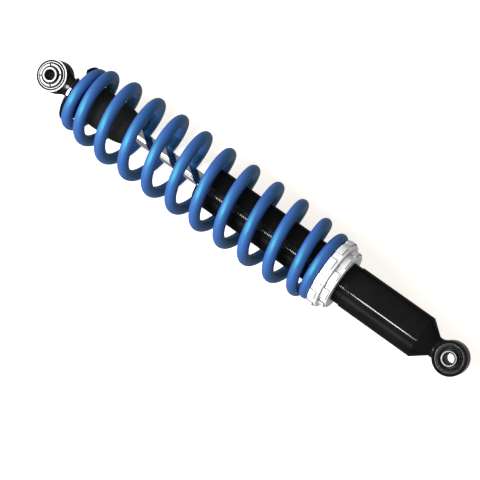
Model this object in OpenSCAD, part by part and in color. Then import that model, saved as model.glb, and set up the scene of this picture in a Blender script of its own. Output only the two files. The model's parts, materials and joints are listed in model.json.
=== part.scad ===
// Coil-over strut: a monotube gas damper inside a coil spring, with a rubber-bushed eye at each end.
// The origin is the centre of the lower eye's bolt hole. +Z runs along the shaft to the upper eye,
// and both bolt holes run along Y. All sizes are millimetres.

/* [Overall] */
// Distance between the centres of the two eyes at full extension
eye_centres = 500; // [495:1:520]

/* [Eyes and bushes] */
// Outer diameter of each eye
eye_d = 35.2; // [34.6:0.2:40]
// Width of each eye along its bolt
eye_w = 22; // [20:0.5:26]
// Outer diameter of the steel shell pressed into each eye
shell_d = 30; // [29:0.1:30.4]
// Wall thickness of that shell
shell_wall = 1.9; // [1.2:0.1:2.2]
// Outer diameter of the inner sleeve
sleeve_d = 15.8; // [15:0.1:17]
// Length of the inner sleeve, which the fork or bracket clamps
sleeve_len = 30; // [28:0.5:36]
// Bolt hole through the sleeve, for an M10 bolt
bolt_hole_d = 10.5; // [10.2:0.1:12.5]
// Outer diameter of the slotted ring on each end of the rubber
ring_d = 24; // [23.6:0.1:25.4]
// Inner diameter of that ring
ring_bore_d = 19.6; // [18.4:0.1:20.4]
// Number of slots in the ring
ring_slots = 4; // [3:1:6]

/* [Damper body] */
// Outer diameter of the plain lower tube
tube_d = 45.2; // [44.6:0.2:47]
// Crest diameter of the threaded upper tube
thread_d = 43.6; // [43:0.1:44]
// Bore of the tube
tube_bore = 38; // [37.6:0.1:38.4]
// Height at which the cone of the lower end cap starts
shoulder_z = 34.6; // [33:0.5:38]
// Height at which the thread starts
thread_z = 120; // [116:1:120]
// Height of the tube's open end
tube_top = 303; // [303:1:310]
// Diameter of the neck over the lower eye
lower_neck_d = 22.3; // [20:0.5:26]

/* [Shaft] */
// Diameter of the chromed shaft
shaft_d = 14; // [13.6:0.1:14.2]
// Diameter of the thread that holds the upper eye
stud_d = 12; // [11:0.5:12]
// Diameter of the thread that holds the piston
tail_d = 10; // [8:0.5:10]
// Diameter of the neck under the upper eye
upper_neck_d = 21.4; // [18:0.2:22]
// Width across the flats of the jam nut
jam_nut_af = 19; // [18:0.5:22]
// Thickness of the jam nut
jam_nut_h = 6; // [5:0.5:6]

/* [Spring] */
// Wire diameter
wire_d = 12; // [10:0.5:12]
// Mean coil diameter of the active coils
coil_d = 77.5; // [76:0.5:82]
// How much smaller the lowest coil's mean diameter is
lower_taper = 16.4; // [14:0.2:17]
// How much smaller the highest coil's mean diameter is
upper_taper = 20.4; // [16:0.2:21]
// Turns from tip to tip
coil_turns = 11.5; // [10.5:0.5:11.5]
// Direction of the lower tip, about the shaft axis
coil_start_deg = 186; // [0:1:360]

/* [Spring seats] */
// Diameter of the upper seat's flange
seat_d = 65.3; // [60:0.1:70]
// Thickness of that flange
seat_t = 2.8; // [2:0.1:3]
// Width of the slot that lets the seat be slipped over the shaft
seat_slot_w = 14.6; // [14.4:0.1:16]
// Direction of that slot, about the shaft axis
seat_slot_towards = -48; // [-180:1:180]
// Outer diameter over the adjuster nut's teeth
adjuster_d = 75; // [72:0.5:78]
// Number of teeth on the adjuster nut
adjuster_teeth = 12; // [8:1:14]
// Outer diameter over the lock nut's teeth
lock_d = 64; // [60:0.5:68]
// Number of teeth on the lock nut
lock_teeth = 10; // [8:1:12]
// Height of the teeth on both nuts
tooth_h = 1.5; // [1:0.1:2]

/* [Bump stop] */
// Length of the bump stop
bump_len = 63; // [50:1:63]
// Diameter of the bump stop
bump_d = 40.6; // [34:0.2:42]
// Diameter of its nose
bump_nose_d = 26; // [22:0.5:30]

/* [Hidden] */

$fn = 96;
eps = 0.01;
// Radial clearance of a piece that turns or slides in another
run = 0.05;
// Gap between flat faces of pieces that move against each other
face_gap = 0.3;

// Nuts on the threaded tube, from the spring down
perch_z = 147;
thrust_t = 1;
adjuster_h = 9.9;
lock_h = 8.4;
adjuster_z = perch_z - adjuster_h - 0.1;
lock_z = adjuster_z - face_gap - lock_h;
adjuster_phase = 18;
lock_phase = 20;

// Upper seat, measured down from the upper eye
seat_under = eye_centres - 35.5;
seat_top = seat_under + seat_t;
spigot_h = 6;
spigot_d = 45;
jam_nut_z = seat_top + face_gap;
neck_z = jam_nut_z + jam_nut_h;
set_screw_z = neck_z + 4.6;
set_screw_d = 3.2;

// Spring
coil_low = perch_z + wire_d / 2;
coil_high = seat_under - wire_d / 2;
taper_turns = 2.4;
taper_power = 1.4;
tip_pitch = 2.2;
// Each end's pitch opens in two steps. The first starts a little later at the upper end
low_step_at = 0.41;
high_step_at = 0.435;
first_step_turns = 0.3;
first_step_pitch = 20.9;
second_step_at = 1.2;
second_step_turns = 0.5;
spring_sides = 12;
rings_per_turn = 36;

// Damper internals
head_z = tube_top - 22;
head_h = 17;
clip_t = 1.8;
shaft_foot = head_z - 4;
washer_t = 1.5;
shim_t = 0.5;
shim_gap = 0.05;
shim_count = 3;
shim_stack = shim_count * (shim_t + shim_gap) + shim_gap;
piston_h = 12;
piston_nut_h = 8;
piston_top = shaft_foot - washer_t - shim_stack;
piston_low = piston_top - piston_h;
piston_nut_z = piston_low - shim_stack - piston_nut_h;
float_z = 118;
float_h = 16;
plug_h = 11;
port_z = 56;

// A tube of one diameter and bore, standing on z
module tube(d, bore, h, z = 0) {
    translate([0, 0, z]) difference() {
        cylinder(d = d, h = h);
        translate([0, 0, -eps]) cylinder(d = bore, h = h + 2 * eps);
    }
}

// Lays what was drawn along Z along Y, centred on an eye at height z
module along_y(z) {
    translate([0, 0, z]) rotate([90, 0, 0]) children();
}

// The round eye itself with the neck that carries it, neck below or above
module eye_ring(z) {
    along_y(z) translate([0, 0, -eye_w / 2]) cylinder(d = eye_d, h = eye_w);
}

// Bore for the bush, long enough to clear a neck that is wider than the eye
module eye_bore(z) {
    over = 1;
    along_y(z) translate([0, 0, -eye_w / 2 - over]) cylinder(d = shell_d, h = eye_w + 2 * over);
}

// Steel shell pressed into an eye
module bush_shell(z) {
    along_y(z) tube(shell_d, shell_d - 2 * shell_wall, eye_w - 0.6, -(eye_w - 0.6) / 2);
}

// Rubber bonded between shell and sleeve, with a groove at each end for the slotted ring
module bush_rubber(z) {
    rubber_w = eye_w - 2;
    groove = 0.8;
    along_y(z) difference() {
        tube(shell_d - 2 * shell_wall, sleeve_d + 2 * run, rubber_w, -rubber_w / 2);
        for (side = [-1, 1])
            translate([0, 0, side * (rubber_w / 2 - groove / 2 + eps)])
                tube(ring_d, ring_bore_d, groove + 2 * eps, -groove / 2 - eps);
    }
}

// The two slotted end rings of a bush
module bush_rings(z) {
    inner_face = eye_w / 2 - 1.8;
    ring_h = 3.4;
    slot_w = 1.2;
    slot_depth = 1.6;
    slot_angle = 34;
    along_y(z) for (side = [0, 1]) mirror([0, 0, side]) difference() {
        tube(ring_d, ring_bore_d, ring_h, inner_face);
        for (k = [0 : ring_slots - 1])
            rotate([0, 0, -90 + slot_angle + k * 360 / ring_slots])
                translate([ring_bore_d / 2 - 1, -slot_w / 2, inner_face + ring_h - slot_depth])
                    cube([ring_d / 2 - ring_bore_d / 2 + 2, slot_w, slot_depth + eps]);
    }
}

// Inner sleeve with a chamfer at each mouth of its bolt hole
module bush_sleeve(z) {
    chamfer = 0.8;
    r = bolt_hole_d / 2;
    half = sleeve_len / 2;
    edge = 0.4;
    along_y(z) rotate_extrude() polygon([
        [r, -half + chamfer], [r + chamfer, -half], [sleeve_d / 2 - edge, -half],
        [sleeve_d / 2, -half + edge], [sleeve_d / 2, half - edge], [sleeve_d / 2 - edge, half],
        [r + chamfer, half], [r, half - chamfer],
    ]);
}

module body_tube() {
    clip_z = head_z + head_h;
    color("#141414") difference() {
        union() {
            tube(tube_d, tube_bore, thread_z - shoulder_z, shoulder_z);
            tube(thread_d, tube_bore, tube_top - thread_z, thread_z);
        }
        // groove of the retaining ring
        translate([0, 0, clip_z - 0.1]) cylinder(d = tube_bore + 3, h = clip_t + 0.2);
        // gas port with its spot face, at the back
        translate([0, 0, port_z]) rotate([-90, 0, 0]) {
            cylinder(d = 6.1, h = tube_d);
            translate([0, 0, tube_d / 2 - 0.7]) cylinder(d = 11.4, h = 5);
        }
    }
}

// End cap: a plug in the tube, a cone, a neck and the eye, in one forging
module lower_eye() {
    neck_r = lower_neck_d / 2;
    cone_end = shoulder_z - (tube_d - lower_neck_d) / 2 * 1.22;
    color("#161616") difference() {
        union() {
            rotate_extrude() polygon([
                [0, 8], [neck_r, 8], [neck_r, cone_end], [tube_d / 2 - 0.4, shoulder_z - 0.4],
                [tube_d / 2, shoulder_z], [tube_bore / 2, shoulder_z],
                [tube_bore / 2, shoulder_z + plug_h], [0, shoulder_z + plug_h],
            ]);
            eye_ring(0);
        }
        eye_bore(0);
    }
}

module lower_bush_shell() { color("#8a8d90") bush_shell(0); }
module lower_bush_rubber() { color("#101010") bush_rubber(0); }
module lower_bush_rings() { color("#c9ccd0") bush_rings(0); }
module lower_bush_sleeve() { color("#d5d7da") bush_sleeve(0); }

module upper_bush_shell() { color("#8a8d90") bush_shell(eye_centres); }
module upper_bush_rubber() { color("#101010") bush_rubber(eye_centres); }
module upper_bush_rings() { color("#c9ccd0") bush_rings(eye_centres); }
module upper_bush_sleeve() { color("#d5d7da") bush_sleeve(eye_centres); }

// Screw that closes the gas chamber, with a hexagon socket
module gas_fill_screw() {
    face = tube_d / 2 - 0.7 + 0.8;
    color("#b9bcc0") translate([0, 0, port_z]) rotate([-90, 0, 0]) difference() {
        union() {
            translate([0, 0, tube_bore / 2 + 0.3]) cylinder(d = 6, h = face - tube_bore / 2);
            translate([0, 0, face]) cylinder(d = 9.2, h = 2.8);
        }
        translate([0, 0, face + 0.8]) cylinder(d = 4.6, h = 3, $fn = 6);
    }
}

module gas_fill_washer() {
    color("#b87333") translate([0, 0, port_z]) rotate([-90, 0, 0])
        tube(10.4, 6.1, 0.8, tube_d / 2 - 0.7);
}

// Guide for the shaft that also closes the tube
module seal_head() {
    bush_d = 17;
    seal_pocket_d = 22;
    wiper_pocket_d = 22;
    boss_d = 31;
    color("#9a9da1") difference() {
        union() {
            translate([0, 0, head_z]) cylinder(d = tube_bore, h = head_h);
            translate([0, 0, head_z + head_h - eps]) cylinder(d = boss_d, h = 5.5 + eps);
        }
        translate([0, 0, head_z - eps]) cylinder(d = shaft_d + 1, h = 30);
        translate([0, 0, head_z + 2]) cylinder(d = bush_d, h = 10);
        translate([0, 0, head_z + 12 - eps]) cylinder(d = seal_pocket_d, h = 5);
        translate([0, 0, head_z + 18.5]) cylinder(d = wiper_pocket_d, h = 6);
        translate([0, 0, head_z + 6]) difference() {
            cylinder(d = tube_bore + 1, h = 3);
            translate([0, 0, -eps]) cylinder(d = tube_bore - 4.4, h = 3 + 2 * eps);
        }
    }
}

module guide_bush() {
    color("#a9743c") tube(17, shaft_d + 2 * run, 10, head_z + 2);
}

module shaft_seal() {
    color("#23262b") tube(22, shaft_d + 2 * run, 4.9, head_z + 12);
}

module wiper_seal() {
    z = head_z + 18.5;
    color("#1b1c20") rotate_extrude() polygon([
        [shaft_d / 2 + run, z + 2], [shaft_d / 2 + 1.2, z], [11, z], [11, z + 4],
        [shaft_d / 2 + 1.6, z + 4], [shaft_d / 2 + run, z + 5],
    ]);
}

module seal_head_oring() {
    color("#15161a") translate([0, 0, head_z + 7.5]) rotate_extrude()
        translate([tube_bore / 2 - 1.15, 0]) circle(d = 2.1, $fn = 32);
}

// Spring ring in the tube's groove, open at the front
module retaining_ring() {
    gap = 9;
    color("#3c3f44") difference() {
        tube(tube_bore + 2.6, tube_bore - 4.4, clip_t, head_z + head_h + eps);
        translate([-gap / 2, -tube_bore, head_z + head_h - 1]) cube([gap, tube_bore, clip_t + 2]);
    }
}

// Steel washer that the spring turns on while the adjuster nut is wound
module thrust_washer() {
    color("#c2c4c7") tube(69.2, thread_d + 2 * face_gap, thrust_t, perch_z - thrust_t);
}

function clamp01(x) = min(max(x, 0), 1);
// Area under a pitch step that opens over a unit length
function step_area(x) = x <= 0 ? 0 : x < 1 ? x * x / 2 : x - 0.5;
function end_rise(turn, first_at, pitch) =
    tip_pitch * turn
    + first_step_pitch * first_step_turns * step_area((turn - first_at) / first_step_turns)
    + (pitch - tip_pitch - first_step_pitch) * second_step_turns
        * step_area((turn - second_step_at) / second_step_turns);
// Active pitch that makes the two ends meet half way along the spring
function active_pitch() =
    let (
        half = coil_turns / 2,
        first_at = (low_step_at + high_step_at) / 2,
        fixed = tip_pitch * half
            + first_step_pitch * (half - first_at - first_step_turns / 2),
        late = half - second_step_at - second_step_turns / 2
    )
    tip_pitch + first_step_pitch + ((coil_high - coil_low) / 2 - fixed) / late;
function coil_z(turn) =
    turn < coil_turns / 2
        ? coil_low + end_rise(turn, low_step_at, active_pitch())
        : coil_high - end_rise(coil_turns - turn, high_step_at, active_pitch());
function end_taper(turn) = pow(clamp01(1 - turn / taper_turns), taper_power);
function coil_r(turn) =
    (coil_d - lower_taper * end_taper(turn) - upper_taper * end_taper(coil_turns - turn)) / 2;
function coil_angle(turn) = coil_start_deg + 360 * turn;
// One corner of the wire's outline, in the plane through the shaft axis
function coil_point(turn, side) =
    let (
        a = 360 * side / spring_sides,
        r = coil_r(turn) + wire_d / 2 * cos(a),
        z = coil_z(turn) + wire_d / 2 * sin(a)
    )
    [r * cos(coil_angle(turn)), r * sin(coil_angle(turn)), z];

// Right-hand coil spring with closed, drawn-in ends
module coil_spring() {
    rings = round(coil_turns * rings_per_turn);
    n = spring_sides;
    points = [
        for (k = [0 : rings]) for (s = [0 : n - 1]) coil_point(coil_turns * k / rings, s)
    ];
    walls = [
        for (k = [0 : rings - 1]) for (s = [0 : n - 1])
            [k * n + s, (k + 1) * n + s, (k + 1) * n + (s + 1) % n, k * n + (s + 1) % n]
    ];
    low_end = [for (s = [0 : n - 1]) s];
    high_end = [for (s = [n - 1 : -1 : 0]) rings * n + s];
    color("#2b62b8") polyhedron(points, concat([low_end, high_end], walls), convexity = 20);
}

// Ring nut with spanner teeth that stop short of its lower rim
module toothed_nut(d, h, z, rim, teeth, tooth_deg, phase) {
    floor_d = d - 2 * tooth_h;
    difference() {
        union() {
            translate([0, 0, z]) cylinder(d = floor_d, h = h);
            translate([0, 0, z + rim]) for (k = [0 : teeth - 1])
                rotate([0, 0, phase + k * 360 / teeth - tooth_deg / 2])
                    rotate_extrude(angle = tooth_deg) translate([floor_d / 2 - 2, 0])
                        square([tooth_h + 2, h - rim]);
        }
        translate([0, 0, z - eps]) cylinder(d = thread_d + 2 * run, h = h + 2 * eps);
    }
}

module adjuster_nut() {
    recess_d = 69.8;
    color("#d9dbdd") difference() {
        toothed_nut(adjuster_d, adjuster_h, adjuster_z, 2.7, adjuster_teeth,
            17.6 * 12 / adjuster_teeth, adjuster_phase);
        translate([0, 0, perch_z - thrust_t - 0.2]) cylinder(d = recess_d, h = thrust_t + 1);
    }
}

module lock_nut() {
    color("#cfd1d4")
        toothed_nut(lock_d, lock_h, lock_z, 1.5, lock_teeth, 22.5 * 10 / lock_teeth, lock_phase);
}

// Flange over the spring with a spigot inside its top coil, slotted to slip over the shaft
module upper_spring_seat() {
    bore = shaft_d + 2 * run;
    color("#171717") difference() {
        union() {
            tube(seat_d, bore, seat_t, seat_under);
            tube(spigot_d, bore, spigot_h + eps, seat_under - spigot_h);
        }
        rotate([0, 0, seat_slot_towards])
            translate([0, -seat_slot_w / 2, seat_under - spigot_h - 1])
                cube([seat_d, seat_slot_w, spigot_h + seat_t + 2]);
    }
}

module shaft() {
    stud_top = eye_centres - shell_d / 2 - 0.8;
    tail_end = piston_nut_z - 2;
    color("#e4e6e8") union() {
        translate([0, 0, shaft_foot]) cylinder(d = shaft_d, h = jam_nut_z - shaft_foot);
        translate([0, 0, jam_nut_z - eps]) cylinder(d = stud_d, h = stud_top - jam_nut_z + eps);
        translate([0, 0, tail_end]) cylinder(d = tail_d, h = shaft_foot - tail_end + eps);
    }
}

module upper_eye() {
    color("#161616") difference() {
        union() {
            translate([0, 0, neck_z])
                cylinder(d = upper_neck_d, h = eye_centres - 8 - neck_z);
            eye_ring(eye_centres);
        }
        eye_bore(eye_centres);
        translate([0, 0, neck_z - eps])
            cylinder(d = stud_d, h = eye_centres - shell_d / 2 - neck_z);
        set_screw_shape(stud_d / 2, upper_neck_d);
    }
}

// A short cylinder from the stud towards the front, in the neck
module set_screw_shape(from_r, to_r) {
    translate([0, 0, set_screw_z]) rotate([90, 0, 0]) translate([0, 0, from_r])
        cylinder(d = set_screw_d, h = to_r - from_r);
}

module eye_set_screw() {
    color("#d0d2d5") difference() {
        set_screw_shape(stud_d / 2, upper_neck_d / 2 + 0.1);
        translate([0, 0, set_screw_z]) rotate([90, 0, 0])
            translate([0, 0, upper_neck_d / 2 - 1]) cylinder(d = 1.8, h = 3, $fn = 6);
    }
}

module jam_nut() {
    flat_towards = -95;
    color("#c4c7ca") difference() {
        translate([0, 0, jam_nut_z]) rotate([0, 0, flat_towards - 30])
            cylinder(d = jam_nut_af / cos(30), h = jam_nut_h, $fn = 6);
        translate([0, 0, jam_nut_z - eps]) cylinder(d = stud_d, h = jam_nut_h + 2 * eps);
    }
}

// Foam spring aid around the shaft, with a rounded nose
module bump_stop() {
    top = seat_under - spigot_h - face_gap;
    low = top - bump_len;
    nose_h = 24;
    steps = 12;
    nose = [
        for (k = [0 : steps])
            let (a = 90 * k / steps)
            [bump_nose_d / 2 + (bump_d - bump_nose_d) / 2 * sin(a), low + nose_h * (1 - cos(a))]
    ];
    color("#1c1c1c") rotate_extrude()
        polygon(concat([[shaft_d / 2, low]], nose, [[bump_d / 2, top], [shaft_d / 2, top]]));
}

module top_out_bumper() {
    color("#2a2a2a") tube(23, shaft_d, 3.7, shaft_foot);
}

module backing_washer() {
    color("#b0b2b6") tube(22, tail_d, washer_t, shaft_foot - washer_t);
}

// Thin discs, widest against the piston
module shims(z, direction) {
    for (k = [0 : shim_count - 1]) {
        low = direction > 0 ? k * (shim_t + shim_gap) : -(k + 1) * (shim_t + shim_gap);
        tube(32 - 4 * k, tail_d, shim_t, z + low + shim_gap);
    }
}

module compression_shims() { color("#b9bcc2") shims(piston_top, 1); }
module rebound_shims() { color("#b9bcc2") shims(piston_low - shim_gap, -1); }

module piston() {
    ports = 6;
    color("#8f9398") difference() {
        tube(36.6, tail_d, piston_h, piston_low);
        translate([0, 0, piston_low + 2]) difference() {
            cylinder(d = 40, h = piston_h - 4);
            translate([0, 0, -eps]) cylinder(d = 34, h = piston_h);
        }
        for (k = [0 : ports - 1]) rotate([0, 0, k * 360 / ports])
            translate([12, 0, piston_low - eps]) cylinder(d = 4, h = piston_h + 2 * eps);
    }
}

module piston_band() {
    color("#3b3f3a") tube(tube_bore - 2 * run, 34, piston_h - 4, piston_low + 2);
}

module piston_nut() {
    color("#b4b7bb") difference() {
        translate([0, 0, piston_nut_z]) cylinder(d = 17 / cos(30), h = piston_nut_h, $fn = 6);
        translate([0, 0, piston_nut_z - eps]) cylinder(d = tail_d, h = piston_nut_h + 2 * eps);
    }
}

// Free piston between the oil and the gas, hollow on its gas side
module floating_piston() {
    color("#a3a6aa") difference() {
        translate([0, 0, float_z]) cylinder(d = tube_bore - 2 * run, h = float_h);
        translate([0, 0, float_z - eps]) cylinder(d = 28, h = 10);
        translate([0, 0, float_z + 9]) difference() {
            cylinder(d = tube_bore + 1, h = 3);
            translate([0, 0, -eps]) cylinder(d = tube_bore - 4.6, h = 3 + 2 * eps);
        }
    }
}

module floating_piston_oring() {
    color("#15161a") translate([0, 0, float_z + 10.5]) rotate_extrude()
        translate([tube_bore / 2 - 1.15, 0]) circle(d = 2.2, $fn = 32);
}

body_tube();
lower_eye();
lower_bush_shell();
lower_bush_rubber();
lower_bush_rings();
lower_bush_sleeve();
gas_fill_screw();
gas_fill_washer();
seal_head();
guide_bush();
shaft_seal();
wiper_seal();
seal_head_oring();
retaining_ring();
thrust_washer();
coil_spring();
adjuster_nut();
lock_nut();
upper_spring_seat();
shaft();
upper_eye();
jam_nut();
eye_set_screw();
bump_stop();
top_out_bumper();
backing_washer();
compression_shims();
piston();
piston_band();
rebound_shims();
piston_nut();
floating_piston();
floating_piston_oring();
upper_bush_shell();
upper_bush_rubber();
upper_bush_rings();
upper_bush_sleeve();
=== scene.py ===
"""Looks for a coil-over strut: gloss black damper, blue coil spring, bright nuts and rubber-bushed eyes.

Shapes are written in millimetres and become metres in skin(). Angles round the strut's own axis are measured
from +X, and angles round an eye's bolt hole from -Z towards +X. Places come from the CAD nodes' boxes.
"""

import json
import math

import bmesh
import bpy
import numpy as np
from mathutils import Matrix, Vector


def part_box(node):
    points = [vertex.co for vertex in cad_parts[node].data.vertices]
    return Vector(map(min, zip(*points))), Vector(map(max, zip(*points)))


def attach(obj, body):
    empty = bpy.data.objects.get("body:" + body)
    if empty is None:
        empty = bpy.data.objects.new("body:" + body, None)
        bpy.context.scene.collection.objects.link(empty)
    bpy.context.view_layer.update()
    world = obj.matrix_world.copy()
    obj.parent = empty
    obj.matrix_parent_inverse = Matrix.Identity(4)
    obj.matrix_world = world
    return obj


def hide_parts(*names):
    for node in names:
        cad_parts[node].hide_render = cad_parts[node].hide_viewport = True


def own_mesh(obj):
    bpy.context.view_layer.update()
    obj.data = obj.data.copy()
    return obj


MM = 0.001
COLUMNS = 96  # points round a turned part
SHARP_DEG = 38  # edges bent more than this are shown as edges

# Eyes and bushes
EYE_R = 17.6
EYE_BORE_R = 15.0
EYE_HALF_W = 11.0
SHELL_IN_R, SHELL_HALF_W = 13.1, 10.7
RUBBER_HALF_W = 9.9
SLEEVE_R = 7.9
TURNING_GAP = 0.03  # keeps the facets of two turning pieces apart
COLLAR_IN_R, COLLAR_OUT_R = 9.8, 12.0
COLLAR_FOOT, COLLAR_HALF_W = 9.2, 12.6
COLLAR_SLOTS = 4
COLLAR_SLOT_W, COLLAR_SLOT_DEPTH = 1.2, 1.6
COLLAR_SLOT_DEG = 34

# Damper body
THREAD_Z = 120.0
THREAD_PITCH = 2.0
THREAD_DEPTH = 0.55
THREAD_CREST_R, NUT_BORE_R = 21.8, 21.85
TUBE_BORE_R = 19.0
LOWER_NECK_R = 10.9
UPPER_NECK_R = 10.6
STUD_R = 6.05
SET_SCREW_R = 1.6
CONE_SLOPE = 1.22  # height of the end cap's cone for each millimetre of radius
PORT_Z = 56.0
SEAT_SLOT_DEG, SEAT_SLOT_HALF_W = -48, 7.3
RIM_GLINT_DEG = -92  # where a painted highlight is put on the upper seat's rim, at its front

# Spring
WIRE_R = 6.0
COIL_D = 77.5
LOWER_TAPER, UPPER_TAPER = 16.4, 20.4
COIL_TURNS = 11.5
COIL_START = math.radians(186)
TAPER_TURNS, TAPER_POWER = 2.4, 1.4
TIP_PITCH = 2.2
LOW_STEP_AT, HIGH_STEP_AT = 0.41, 0.435  # turns from each end at which the pitch starts to open
FIRST_STEP = (0.3, 20.9)  # over how many turns, and by how much
SECOND_STEP = (1.2, 0.5)  # at which turn from each end, and over how many turns
DEAD_TURNS = 1.1  # turns at each end that don't shorten
STEPS_PER_TURN = 64
WIRE_SIDES = 28

# Photographer's table and camera, turned about the strut's axis
VIEW_TURN = math.radians(7.56)
TABLE_GAP = 46.5
LENS_MM, SENSOR_MM = 123.45, 36.0
CAMERA_AWAY, CAMERA_Z = 1597.2, -146.8
AIM_SIDE, AIM_Z = -26.0, 238.4
STRUT_SLANT = math.radians(144.35)  # direction of the strut's +Z in the view, from its right-hand side

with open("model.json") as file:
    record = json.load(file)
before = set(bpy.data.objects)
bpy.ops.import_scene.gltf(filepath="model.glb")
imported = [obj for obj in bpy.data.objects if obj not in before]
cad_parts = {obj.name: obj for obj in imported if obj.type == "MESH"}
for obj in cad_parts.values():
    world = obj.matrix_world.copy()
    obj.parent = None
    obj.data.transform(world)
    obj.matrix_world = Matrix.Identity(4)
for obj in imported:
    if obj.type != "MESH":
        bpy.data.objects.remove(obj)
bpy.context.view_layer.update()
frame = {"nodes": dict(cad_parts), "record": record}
nodes = frame["nodes"]
slot_of = {part["node"]: part["material_slot"] for part in frame["record"]["subparts"]}
eye_z = {
    mount["name"].split("_")[0]: mount["pos_m"][2] / MM
    for mount in frame["record"]["mounts"]
}


def extent(node, axis=2):
    """Lowest and highest value of a CAD node along one axis, in millimetres."""
    low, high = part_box(node)
    return low[axis] / MM, high[axis] / MM


# ---------------------------------------------------------------------------------------------------------
# Meshes
# ---------------------------------------------------------------------------------------------------------


def around_z(radius, turn, along, _centre=0.0):
    """Points at a radius and turn about the strut's axis."""
    return np.stack(
        np.broadcast_arrays(radius * np.cos(turn), radius * np.sin(turn), along), -1
    )


def around_y(radius, turn, along, centre=0.0):
    """Points at a radius and turn about an eye's bolt hole at height centre, with along as Y."""
    x, z = radius * np.sin(turn), centre - radius * np.cos(turn)
    return np.stack(np.broadcast_arrays(x, along, z), -1)


def corner_arc(before, corner, after, radius, steps=4):
    """Points of the arc that rounds one corner of an outline."""
    corner = np.array(corner, float)
    back, on = np.array(before, float) - corner, np.array(after, float) - corner
    length_back, length_on = np.linalg.norm(back), np.linalg.norm(on)
    back, on = back / length_back, on / length_on
    half = math.acos(float(np.clip(back @ on, -1, 1))) / 2
    if half > math.radians(89):
        return [tuple(corner)]
    reach = min(radius / math.tan(half), 0.48 * length_back, 0.48 * length_on)
    radius = reach * math.tan(half)
    centre = corner + (back + on) / np.linalg.norm(back + on) * radius / math.sin(half)
    start, end = corner + back * reach - centre, corner + on * reach - centre
    sweep = math.pi - 2 * half
    shares = np.linspace(0, 1, steps + 1)
    return [
        tuple(
            centre
            + (math.sin((1 - t) * sweep) * start + math.sin(t * sweep) * end)
            / math.sin(sweep)
        )
        for t in shares
    ]


def outline(corners, closed=True):
    """An outline of (radius, along) points from corners that may name a rounding as a third number."""
    flat = [c[:2] for c in corners]
    points = []
    for i, corner in enumerate(corners):
        inner = closed or 0 < i < len(corners) - 1
        if len(corner) == 3 and inner:
            points += corner_arc(flat[i - 1], flat[i], flat[(i + 1) % len(flat)], corner[2])
        else:
            points.append(flat[i])
    return np.array(points, float)


def finish_mesh(obj, sharp_deg=SHARP_DEG, soften=True):
    """Welds the mesh, turns its faces outwards, and marks its sharp edges."""
    mesh = bmesh.new()
    mesh.from_mesh(obj.data)
    bmesh.ops.remove_doubles(mesh, verts=mesh.verts, dist=1e-6)
    bmesh.ops.dissolve_degenerate(mesh, edges=mesh.edges, dist=1e-7)
    bmesh.ops.recalc_face_normals(mesh, faces=mesh.faces)
    for face in mesh.faces:
        face.smooth = True
    for edge in mesh.edges:
        edge.smooth = edge.calc_face_angle(0.0) < math.radians(sharp_deg)
    mesh.to_mesh(obj.data)
    mesh.free()
    if soften:
        weighted = obj.modifiers.new("even_normals", "WEIGHTED_NORMAL")
        weighted.keep_sharp = True
    return obj


def new_object(name, vertices, faces, material):
    mesh = bpy.data.meshes.new(name)
    mesh.from_pydata((np.asarray(vertices).reshape(-1, 3) * MM).tolist(), [], faces)
    obj = bpy.data.objects.new(name, mesh)
    bpy.context.scene.collection.objects.link(obj)
    obj.data.materials.append(material)
    return obj


def ring_faces(rows, columns, loop=False, start=0):
    """Quads between rows of points that each run right round an axis."""
    bands = rows if loop else rows - 1
    return [
        (
            start + i * columns + j,
            start + i * columns + (j + 1) % columns,
            start + (i + 1) % rows * columns + (j + 1) % columns,
            start + (i + 1) % rows * columns + j,
        )
        for i in range(bands)
        for j in range(columns)
    ]


def skin(name, rings, material, loop=True, **finish):
    """A closed mesh through rings of points. With loop the last ring joins the first; otherwise both end
    rings have no radius."""
    rings = np.asarray(rings, float)
    rings = rings.reshape(-1, *rings.shape[-2:])
    rows, columns, _ = rings.shape
    obj = new_object(name, rings, ring_faces(rows, columns, loop), material)
    return finish_mesh(obj, **finish)


def even_turns(count=COLUMNS):
    return np.arange(count) * 2 * math.pi / count


def revolve(name, corners, material, place=around_z, centre=0.0, count=COLUMNS, loop=True, **finish):
    """A turned part. Its outline is closed, or with loop off it starts and ends on the axis."""
    points = outline(corners, closed=loop)
    rings = place(points[:, :1], even_turns(count)[None, :], points[:, 1:], centre)
    return skin(name, rings, material, loop, **finish)


def mirrored(corners):
    """A half outline followed by its mirror image across along = 0."""
    return list(corners) + [(c[0], -c[1], *c[2:]) for c in reversed(corners)]


def plateau_turns(count, width, radius, phase, flank):
    """Turns round a ring with count raised sectors, and each turn's share of the raised height.

    width is a sector's width and flank lists (distance past the sector's edge, share), in millimetres at
    that radius."""
    half = width / 2
    pitch = 2 * math.pi * radius / count
    inside = [(s, 1.0) for s in np.linspace(-0.6, 0.6, 5) * half]
    across = [(-half + d, share) for d, share in flank] + inside
    across += [(half - d, share) for d, share in reversed(flank)]
    gap_start = half - flank[0][0]
    across += [(s, 0.0) for s in np.linspace(gap_start, pitch - gap_start, 7)[1:-1]]
    turns = [
        (phase + 2 * math.pi * k / count + s / radius, share)
        for k in range(count)
        for s, share in across
    ]
    return np.array(turns).T


def subtract(obj, cutter):
    """Cuts one closed mesh out of another, and removes the cutter."""
    return combine(obj, cutter, "DIFFERENCE")


def combine(obj, other, operation):
    for modifier in list(obj.modifiers):
        obj.modifiers.remove(modifier)
    for modifier in list(other.modifiers):
        other.modifiers.remove(modifier)
    boolean = obj.modifiers.new("combine", "BOOLEAN")
    boolean.operation = operation
    boolean.solver = "MANIFOLD"
    boolean.object = other
    depsgraph = bpy.context.evaluated_depsgraph_get()
    mesh = bpy.data.meshes.new_from_object(obj.evaluated_get(depsgraph))
    obj.modifiers.remove(boolean)
    mesh.name = obj.data.name
    obj.data = mesh
    bpy.data.objects.remove(other)
    return finish_mesh(obj)


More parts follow.
